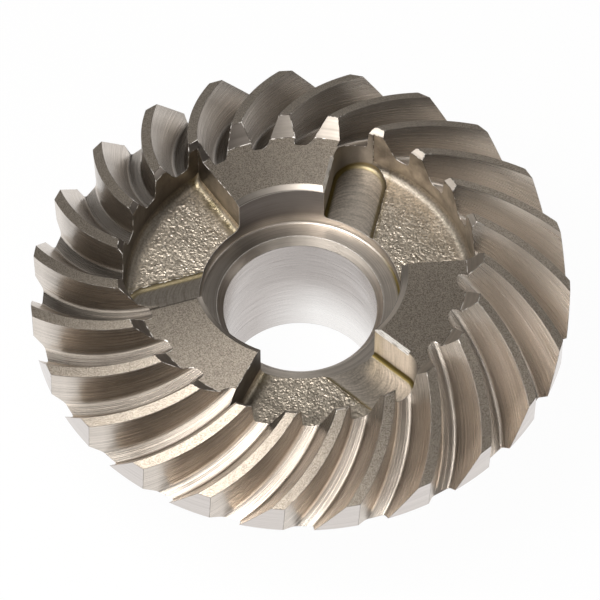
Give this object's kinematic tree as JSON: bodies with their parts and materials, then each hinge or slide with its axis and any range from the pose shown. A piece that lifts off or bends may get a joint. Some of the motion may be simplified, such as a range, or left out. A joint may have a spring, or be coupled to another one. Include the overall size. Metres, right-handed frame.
{
  "type": "outboard reverse gear",
  "caption": "Forged steel spiral bevel gear with clutch dogs around a ground bore and a bearing journal behind; it turns an outboard's propeller shaft astern.",
  "frame": {"origin": "on the gear's axis, at the end face of the bearing journal that it stands on", "axes": "+Z along the gear's axis, from the journal's end face to the teeth; +X to the right and +Y away in the picture"},
  "size_m": [0.0944, 0.0943, 0.039],
  "materials": {
    "steel": "bare case-hardened steel, machined teeth and bore, rough forged pockets"
  },
  "bodies": {
    "root": {"reverse_gear": "steel"}
  },
  "joints": []
}
